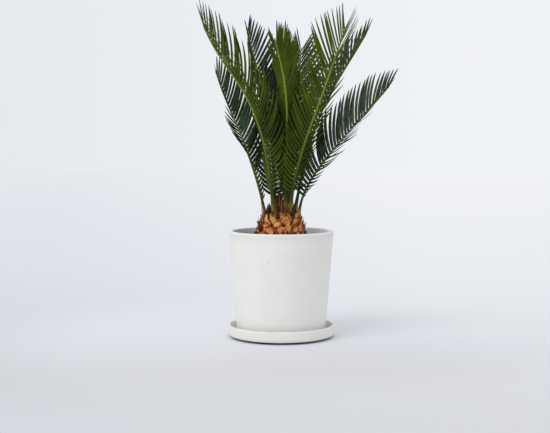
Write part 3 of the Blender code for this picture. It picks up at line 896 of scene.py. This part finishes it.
# %% One leaflet, one rachis
LEAFLET_SECTION = ((-1.0, -0.45), (-0.5, 0.45), (0.5, 0.45), (1.0, -0.45), (0.42, -0.2),
                   (0.0, -0.75), (-0.42, -0.2))
WIDEST_BLADE = 1.40  # times the width of its root
leaflet_model = straight_blade("leaflet", LEAFLET_SECTION, (
    (0.06, 1.15, 1.0), (0.16, 1.32, 1.0), (0.34, WIDEST_BLADE, 0.95), (0.54, 1.36, 0.9),
    (0.72, 1.16, 0.8), (0.86, 0.80, 0.6), (0.95, 0.38, 0.4), (1.0, 0.0, 0.0)),
    [upper_cuticle, underside])
for polygon in leaflet_model.data.polygons:
    polygon.material_index = 0 if polygon.normal.z > 0.2 else 1
smooth_below(leaflet_model, 55)

RACHIS_SECTION = ((-1.0, -0.30), (-1.0, 0.9), (-0.62, 1.0), (0.0, 0.35), (0.62, 1.0), (1.0, 0.9),
                  (1.0, -0.30), (0.66, -0.74), (0.0, -1.0), (-0.66, -0.74))
CUTS = 60
rachis_model = straight_blade(
    "rachis", RACHIS_SECTION,
    [((k + 1) / CUTS, 1.0, 1.0) for k in range(CUTS - 1)] + [(1.0, 0.6, 0.6)], [rachis_skin])
smooth_below(rachis_model, 50)
print("faces of leaflet, rachis:", *(len(m.data.polygons) for m in (leaflet_model, rachis_model)))

# %% [markdown]
# ## The path of a frond
# Ten fronds stand round the bud. Each has a foot on the crown, a length, and a lean and a bearing
# that change smoothly from foot to tip. Walking along the rachis in 120 small steps gives a point
# and three directions at each: forward, sideways, and upward, which is the side that faces the
# crown's axis.

# %% The fronds' shapes
# foot: bearing, distance from the axis; length and leaf in metres; bare: share of the rachis
# without leaflets; pairs: of leaflets. From foot to tip, in degrees: lean from upright; head, the
# bearing; for the leaflets half, half the opening between the two rows; roll of both rows about
# the rachis; sweep from the rachis; skew, how much more of it one row has; curl inward. leaf:
# leaflet lengths from foot to tip; rows and width: each row's share of them and of the usual
# width; twist of every blade, in degrees. The first ones find room for their leaflets first.
FRONDS = {
    "frond_05": dict(
        foot=(308, 0.023), length=0.335, bare=0.11, pairs=42, lean=(8, 21, 28, 27, 27),
        head=(312, 312, 312), half=(76, 66, 62, 62, 56), roll=(-8, -22, -18, -16, -14),
        skew=(0, -2, -5, -6, -4), sweep=(56, 42, 34, 31, 18), curl=(36, 24, 10, 4, 2),
        leaf=(0.022, 0.054, 0.068, 0.086, 0.044), rows=(1, 1), width=(0.88, 0.84), twist=-8),
    "frond_07": dict(
        foot=(350, 0.029), length=0.271, bare=0.12, pairs=36, lean=(8, 32, 40, 43, 40),
        head=(350, 352, 352), half=(72, 72, 68, 60, 54), roll=(44, 42, 36, 30, 26), skew=(0, 0),
        sweep=(68, 54, 46, 40, 22), curl=(34, 30, 28, 22, 12),
        leaf=(0.034, 0.074, 0.086, 0.074, 0.038), rows=(0.68, 1), width=(1, 1.12), twist=-10),
    "frond_01": dict(
        foot=(236, 0.022), length=0.341, bare=0.11, pairs=42, lean=(7, 12, 25, 39, 26),
        head=(226, 212, 204), half=(70, 52, 46, 44, 46), roll=(0, 0), skew=(0, -3, -3, 0, 0),
        sweep=(58, 42, 32, 30, 22), curl=(34, 30, 28, 20, 6),
        leaf=(0.020, 0.062, 0.088, 0.088, 0.048), rows=(1, 1), width=(1.04, 1.04), twist=28),
    "frond_04": dict(
        foot=(300, 0.014), length=0.310, bare=0.07, pairs=38, lean=(2, 8, 28, 36, 35),
        head=(290, 269, 247), half=(46, 40, 42, 50, 50), roll=(0, -2, -2, 10, 12),
        skew=(0, 5, 4, 2, 0), sweep=(54, 34, 27, 26, 17), curl=(30, 20, 14, 10, 6),
        leaf=(0.014, 0.038, 0.064, 0.072, 0.040), rows=(0.82, 1), width=(0.92, 1), twist=30),
    "frond_02": dict(
        foot=(172, 0.027), length=0.266, bare=0.10, pairs=34, lean=(12, 18, 24, 27, 20),
        head=(168, 154, 150), half=(56, 56, 58, 60, 52, 44, 38),
        roll=(26, 20, -14, -38, -6, 0, 0), skew=(0, 0, 2, 4, 2, 0, 0),
        sweep=(64, 50, 46, 44, 38, 32, 20), curl=(34, 28, 20, 18, 12),
        leaf=(0.020, 0.056, 0.078, 0.074, 0.034), rows=(1, 0.45), width=(1.15, 0.8), twist=16),
    "frond_03": dict(
        foot=(135, 0.015), length=0.324, bare=0.10, pairs=38, lean=(0, 4, 13, 20, 15),
        head=(142, 140, 142), half=(60, 50, 52, 52, 50), roll=(0, -8, -20, -24, -22),
        skew=(0, -4, -9, -11, -5), sweep=(60, 42, 35, 33, 14), curl=(32, 22, 12, 4, 2),
        leaf=(0.020, 0.054, 0.072, 0.064, 0.030), rows=(1, 0.6), width=(1.12, 1), twist=26),
    "frond_06": dict(
        foot=(22, 0.024), length=0.342, bare=0.13, pairs=36, lean=(12, 15, 24, 33, 32),
        head=(26, 22, 16), half=(78, 62, 54, 52, 48), roll=(6, 8, 8, 8, 6), skew=(0, 0),
        sweep=(64, 48, 36, 30, 18), curl=(34, 28, 20, 14, 8),
        leaf=(0.020, 0.052, 0.066, 0.062, 0.036), rows=(1, 1), width=(1, 1), twist=-10),
    "frond_08": dict(
        foot=(10, 0.012), length=0.292, bare=0.10, pairs=32, lean=(2, 3, 4, 6, 10),
        head=(250, 250, 255), half=(70, 56, 48, 44, 40), roll=(0, 0), skew=(0, 0),
        sweep=(60, 40, 28, 22, 14), curl=(30, 20, 12, 8, 6),
        leaf=(0.020, 0.054, 0.066, 0.058, 0.032), rows=(1, 1), width=(1, 1), twist=30),
    "frond_09": dict(
        foot=(60, 0.023), length=0.308, bare=0.12, pairs=34, lean=(10, 15, 19, 22, 24),
        head=(66, 75, 80), half=(72, 58, 54, 52, 48), roll=(6, 14, 26, 28, 26), skew=(0, 0),
        sweep=(64, 46, 38, 35, 28), curl=(30, 20, 10, 4, 2),
        leaf=(0.020, 0.054, 0.074, 0.072, 0.040), rows=(1, 1), width=(1.1, 1), twist=24),
    "frond_10": dict(
        foot=(112, 0.026), length=0.272, bare=0.10, pairs=34, lean=(8, 13, 19, 25, 28),
        head=(110, 100, 94), half=(74, 60, 54, 50, 46), roll=(0, 6, 12, 14, 12), skew=(0, 0),
        sweep=(64, 46, 36, 30, 20), curl=(30, 22, 14, 10, 8),
        leaf=(0.030, 0.064, 0.076, 0.064, 0.034), rows=(1, 1), width=(1.1, 1.1), twist=24),
}
STEPS, FOOT_GAP = 120, 0.0007


def rachis_stations(frond):
    """(point, forward, sideways, upward) at STEPS + 1 places."""
    bearing, radius = frond["foot"]
    point = at_bearing(bearing, radius, crown_height(radius) + FOOT_GAP)
    stations = []
    for k in range(STEPS + 1):
        s = k / STEPS
        head = along(frond["head"], s)
        forward = direction(along(frond["lean"], s), head)
        if stations:
            way = (stations[-1][1] + forward).normalized()
            point = point + way * frond["length"] / STEPS
        across = level_across(head)
        sideways = (across - across.dot(forward) * forward).normalized()
        stations.append((point, forward, sideways, forward.cross(sideways)))
    return stations


def station_at(stations, s):
    place = min(max(s, 0.0), 1.0) * STEPS
    k = min(int(place), STEPS - 1)
    mixed = [a.lerp(b, place - k) for a, b in zip(stations[k], stations[k + 1])]
    return (mixed[0], *(v.normalized() for v in mixed[1:]))


all_stations = {name: rachis_stations(frond) for name, frond in FRONDS.items()}
print("tip of frond_01:", [round(x, 3) for x in all_stations["frond_01"][-1][0]])

# %% [markdown]
# ## Making room for every leaflet
# Ten fronds in one crown would run their leaflets through one another, which real ones can't.
# Each leaflet is therefore tried as a simple spike against those already there and against the
# other rachises, with a BVH tree, Blender's search tree for faces. One that would touch opens or
# sweeps a few degrees, or stays shorter, until it is clear by half a millimetre, and the few that
# find no room anywhere are left out.

# %% Where every leaflet goes
LEAFLET_BEND = 0.55  # where the trial spike is widest
LEAFLET_WIDTH = (0.0045, 0.0053, 0.0050, 0.0043, 0.0028)  # from the frond's foot to its tip
LEAFLET_THICK = 0.0009
THICK_FOOT = 0.13  # share of the rachis that thickens towards its foot
# Half width, height of the side ridges and whole depth, from the foot and from there to the tip
RACHIS_FOOT = ((0.0046, 0.0034, 0.0027), (0.0016, 0.0012, 0.0010), (0.0062, 0.0046, 0.0037))
RACHIS_REST = ((0.0027, 0.0017, 0.0009), (0.0010, 0.0007, 0.0005), (0.0037, 0.0026, 0.0014))
# How far leaflets open and sweep in clumps: degrees, turn from one to the next
STRAY = ((3.5, 0.47), (2.6, 0.63))
CLEARANCE = 0.0005
RACHIS_CLEARANCE = 0.0025
TRIAL_PARTS = 20  # steps that a leaflet's curve is walked in
# Degrees opened, degrees swept, share of the length
GIVE_WAY = (
    (0, 0, 1), (6, 0, 1), (-6, 0, 1), (0, 6, 1), (0, -5, 1), (12, 0, 1), (-12, 0, 1), (8, 8, 1),
    (-8, 8, 1), (8, -6, 1), (-8, -6, 1), (18, 0, 0.95), (-18, 0, 0.95), (0, 14, 0.9),
    (14, 12, 0.9), (-14, 12, 0.9), (0, 0, 0.8), (10, 4, 0.8), (-10, 4, 0.8), (0, 0, 0.65),
    (12, 8, 0.65), (-12, 8, 0.65), (0, 0, 0.5), (12, 8, 0.5), (-12, 8, 0.5), (0, 0, 0.36),
    (14, 8, 0.36), (-14, 8, 0.36), (24, -8, 0.36), (-24, -8, 0.36), (0, 0, 0.24), (24, 0, 0.24),
    (-24, 0, 0.24), (0, 0, 0.14),
)
SPIKE_FACES = [(0, 1, 5, 4), (1, 2, 6, 5), (2, 3, 7, 6), (3, 0, 4, 7),
               (4, 5, 8), (5, 6, 8), (6, 7, 8), (7, 4, 8)]


def rachis_size(s):
    """Half width, height of the side ridges and whole depth of the rachis there."""
    if s <= THICK_FOOT:
        return [along(sizes, s / THICK_FOOT) for sizes in RACHIS_FOOT]
    return [along(sizes, (s - THICK_FOOT) / (1 - THICK_FOOT)) for sizes in RACHIS_REST]


def leafy_share(frond, x):
    """The place on the rachis, 0 to 1, of the share x of its leafy part."""
    return frond["bare"] + (1 - frond["bare"]) * x


def rachis_ring(stations, s, grow=0.0):
    point, _, sideways, upward = station_at(stations, s)
    wide, side, deep = (a + b for a, b in zip(rachis_size(s), (grow, grow, 2 * grow)))
    corners = ((wide, side), (wide, -side), (0, side - deep), (-wide, -side), (-wide, side))
    ring = [point + sideways * a + upward * b for a, b in corners]
    if s == 0:
        for p in ring:
            p.z = crown_height(math.hypot(p.x, p.y)) + FOOT_GAP
    return ring


def leaflet_axes(stations, frond, k, give):
    """Start, length and the function of u, 0 to 1, that gives (forward, over, normal)."""
    side = -1 if k % 2 == 0 else 1
    x = (k + 0.5) / (2 * frond["pairs"])
    place = leafy_share(frond, x)
    point, forward, sideways, upward = station_at(stations, place)
    start = point + sideways * side * rachis_size(place)[0]
    lift, lag = (amount * math.sin(pace * k + frond["foot"][0]) for amount, pace in STRAY)
    half = math.radians(along(frond["half"], x) + give[0] + lift - side * along(frond["roll"], x))
    wing = upward * math.cos(half) + sideways * side * math.sin(half)
    normal = upward * math.sin(half) - sideways * side * math.cos(half)
    curl = along(frond["curl"], x)
    sweep = along(frond["sweep"], x) + give[1] + lag + side * along(frond["skew"], x)

    def axes(u):
        a = math.radians(sweep + curl * (0.5 - u))
        return (forward * math.cos(a) + wing * math.sin(a),
                forward * math.sin(a) - wing * math.cos(a), normal)

    return start, along(frond["leaf"], x) * frond["rows"][k % 2] * give[2], axes


def trial_spike(stations, frond, k, give, grow=0.0):
    """Four root corners, four corners at the widest section and the tip."""
    count = 2 * frond["pairs"]
    rings = [rachis_ring(stations, leafy_share(frond, j / count)) for j in (k, k + 1)]
    top, low = (4, 3) if k % 2 == 0 else (0, 1)
    start, length, axes = leaflet_axes(stations, frond, k, give)
    middle, tip = start, start
    for j in range(TRIAL_PARTS):
        u = (j + 0.5) / TRIAL_PARTS
        tip = tip + axes(u)[0] * length / TRIAL_PARTS
        if u < LEAFLET_BEND:
            middle = tip
    across, through = turned(*axes(LEAFLET_BEND)[1:], math.radians(frond["twist"]))
    wide = along(LEAFLET_WIDTH, k / count) * frond["width"][k % 2] / 2 + grow
    thick = LEAFLET_THICK / 2 + grow
    section = [middle + across * a * wide + through * b * thick
               for a, b in ((-1, 1), (-1, -1), (1, -1), (1, 1))]
    return [rings[0][top], rings[0][low], rings[1][low], rings[1][top]] + section + [tip]


def solid_tree(points, faces):
    low = [min(p[i] for p in points) for i in range(3)]
    high = [max(p[i] for p in points) for i in range(3)]
    return BVHTree.FromPolygons(points, faces), low, high


def meets(one, other):
    apart = any(one[1][i] > other[2][i] or other[1][i] > one[2][i] for i in range(3))
    return not apart and bool(one[0].overlap(other[0]))


def thick_rachis(stations, frond):
    """A rachis grown by the room that other fronds' leaflets leave round it."""
    count = 2 * frond["pairs"]
    places = [0.0, 0.025, 0.055] + [leafy_share(frond, k / count) for k in range(count + 1)]
    points = [p for s in places for p in rachis_ring(stations, s, RACHIS_CLEARANCE)]
    faces = [tuple(range(5)), tuple(range(len(points) - 5, len(points)))]
    for row in range(len(places) - 1):
        for j in range(5):
            a, b = row * 5 + j, row * 5 + (j + 1) % 5
            faces.append((a, b, b + 5, a + 5))
    return solid_tree(points, faces)


rachis_trees = {name: thick_rachis(all_stations[name], frond) for name, frond in FRONDS.items()}
there, gives = [], {}
for name, frond in FRONDS.items():
    stations, gives[name] = all_stations[name], {}
    others = [tree for other, tree in rachis_trees.items() if other != name]
    for k in range(2 * frond["pairs"]):
        for give in GIVE_WAY:
            tree = solid_tree(trial_spike(stations, frond, k, give, CLEARANCE), SPIKE_FACES)
            if not any(meets(tree, other) for other in others + there):
                gives[name][k] = give
                there.append(solid_tree(trial_spike(stations, frond, k, give), SPIKE_FACES))
                break
print("leaflets in place:", {name: len(found) for name, found in gives.items()})

# %% [markdown]
# ## The fronds
# Now each frond is put together: the straight rachis laid along its stations, and a leaflet laid
# from each side of it in turn. A leaflet leaves the rachis edge-on and twists as it comes free,
# on each frond by an angle of its own, and each one is a hair wider, narrower, more or less
# twisted than its neighbour. All of a frond's copies are then joined.

# %% The fronds
SUNK_SHARE, SUNK_FOOT = 0.03, 0.0022  # the rachis starts so much lower, inside the wool
ROOT_DEPTH, BLADE_HALF_THICK = 0.0006, 0.0008
BLADE_PARTS, TWISTED_BY = 16, 0.3  # the share of a leaflet's length that takes all its twist


def rachis_path(stations):
    def path(x):
        point, _, sideways, upward = station_at(stations, x)
        wide, side, deep = rachis_size(x)
        centre = point - upward * (deep / 2 - side)
        if x < SUNK_SHARE:
            centre = centre - Vector((0, 0, SUNK_FOOT * (1 - x / SUNK_SHARE)))
        return centre, sideways, upward, wide, deep / 2

    return path


def leaflet_path(stations, frond, k, give, wobble):
    """wobble: times the width, degrees of twist more."""
    start, length, axes = leaflet_axes(stations, frond, k, give)
    width = along(LEAFLET_WIDTH, k / (2 * frond["pairs"])) * frond["width"][k % 2] / 2
    width = width / WIDEST_BLADE * wobble[0]
    inward = axes(0.0)[0] * ROOT_DEPTH

    def path(u):
        point = start - inward
        for j in range(BLADE_PARTS):
            point = point + axes(u * (j + 0.5) / BLADE_PARTS)[0] * (length * u / BLADE_PARTS)
        free = min(u / TWISTED_BY, 1.0)
        twist = math.radians(frond["twist"] + wobble[1]) * free * free * (3 - 2 * free)
        return point, *turned(*axes(u)[1:], twist), width, BLADE_HALF_THICK

    return path


chooser = random.Random(21)
for name, frond in FRONDS.items():
    stations = all_stations[name]
    parts = [laid(name + "_rachis", rachis_model, rachis_path(stations))]
    for k, give in gives[name].items():
        wobble = (chooser.uniform(0.92, 1.08), chooser.uniform(-7, 7))
        parts.append(laid(f"{name}_leaflet_{k:02d}", leaflet_model,
                          leaflet_path(stations, frond, k, give, wobble), flip=k % 2 == 1))
    finish_piece(join_all("leafy_" + name, parts), name)
for model in (leaflet_model, rachis_model, spike, stub):
    bpy.data.objects.remove(model)

# %% [markdown]
# ## Floor, background and light
# A seamless pale studio: a wide disc of matt paper that runs up to the same colour as the
# horizon, under an even, slightly cool sky. Close to the plant the paper is lit as any surface
# is, so it keeps the shadow; its colour there is painted lighter to the right and back, where
# that shadow falls. Further out it shows its own colour at strength 1 to camera, glossy and
# transmitted rays only, which adds no light to the plant. Paper and sky carry painted light and
# shade: a little darker on the left, and the paper also towards the front.


# %% Floor and background
def seen_rays():
    """1 for the rays that a viewer sees directly, in a reflection or through something."""
    rays = add_node("LightPath").outputs
    either = maths("MAXIMUM", rays["Is Camera Ray"], rays["Is Glossy Ray"])
    return maths("MAXIMUM", either, rays["Is Transmission Ray"])


def front_tone(left, right):
    """Paper tones: each side has its ramp from back to front."""
    tones = [ramp(front_share, *stops) for stops in (left, right)]
    return mix_colours(right_share, *tones)


def mixed_shaders(factor, first, second, end):
    """One shader where factor is 0, the other where it is 1, into the tree's last node."""
    mix = add_node("MixShader", enumerate((factor, first, second)))
    plug(mix.outputs[0], "Surface", end)


PAPER_FRONT, PAPER_SIDE = 0.65, 1.0  # the tones run back from this line and out from this one
TONE_OFFSET, TONE_REACH = 2.35, 2.3  # metres from the viewer's place to it, and for a share of 1
studio_paper = new_material("matt_studio_paper", "#dfe1e5", 0.9, Specular_IOR_Level=0.1)
place = object_space()
x, y, _ = split(place)
far = rescale(vector_maths("LENGTH", place), 0.20, 0.60, interpolation_type="SMOOTHSTEP")
back = maths("ABSOLUTE", maths("ADD", y, PAPER_FRONT))
aside = maths("SUBTRACT", maths("ABSOLUTE", x), PAPER_SIDE)
away = maths("MAXIMUM", back, aside)
away = maths("ADD", away, TONE_OFFSET)
front_share = maths("DIVIDE", TONE_REACH, away)
right_share = rescale(maths("DIVIDE", x, away), -0.17, 0.10)
# Painted light and shade: the paper's own colour is darker on the left and towards the front.
paper_painted_light_shade = front_tone(
    ((0.15, "#e6e9ee"), (0.55, "#dee2e9"), (0.75, "#d7dae0"), (0.80, "#d5d8de"),
     (0.86, "#d2d4d9"), (0.95, "#d6d9df")),
    ((0.15, "#f1f2f6"), (0.60, "#e9ecf0"), (0.78, "#e0e3e8"), (0.86, "#dddfe4"),
     (0.95, "#d9dbe0")))
# Painted light on the lit paper: lighter right and back, where the plant's shadow falls.
lit_paper_painted_light_shade = front_tone(
    ((0.74, "#dfe1e5"), (0.80, "#dadbdf"), (0.85, "#d5d6d9")),
    ((0.68, "#ebedef"), (0.76, "#e2e4e7"), (0.80, "#dbdce0"), (0.85, "#d3d3d6")))
paint(lit_paper_painted_light_shade)
own_colour = add_node("Emission", [("Color", paper_painted_light_shade)]).outputs[0]
seen_far = maths("MULTIPLY", far, seen_rays())
mixed_shaders(seen_far, tree.nodes["Principled BSDF"].outputs[0], own_colour, "Material Output")

floor = flat_circle("paper_floor", 96, 12.0)
edit_all()
bpy.ops.mesh.inset(thickness=11.0)
bpy.ops.object.mode_set(mode="OBJECT")
floor.data.materials.append(studio_paper)
print("floor faces:", len(floor.data.polygons))

# %% World and lamp
world = bpy.data.worlds.new("studio")
bpy.context.scene.world = world
world.use_nodes = True
tree = world.node_tree
room_light = tree.nodes["Background"]
room_light.inputs["Color"].default_value = linear("#f1f3f7")
room_light.inputs["Strength"].default_value = 0.98
ray_x, _, _ = split(add_node("TexCoord").outputs["Generated"])
# Painted light and shade: the sky seen is darker on the left, lighter on the right.
sky_painted_light_shade = ramp(rescale(ray_x, -0.25, 0.15), (0.0, "#e6e9ee"), (0.5, "#ebeef3"), (1.0, "#f0f2f5"))
seen_sky = add_node("Background", [("Color", sky_painted_light_shade), ("Strength", 1.0)])
mixed_shaders(seen_rays(), room_light.outputs[0], seen_sky.outputs[0], "World Output")

lamp = bpy.data.lights.new("wide_soft_source", "AREA")
lamp.shape, lamp.size, lamp.energy = "DISK", 1.8, 24.0
lamp.color = (1.0, 0.99, 0.97)
key = put_in_scene("wide_soft_source", lamp)
key.location = (-1.5, -1.5, 2.0)
key.rotation_euler = (Vector((0, 0, 0.3)) - key.location).to_track_quat("-Z", "Y").to_euler()
print("lamp:", lamp.energy, "W")
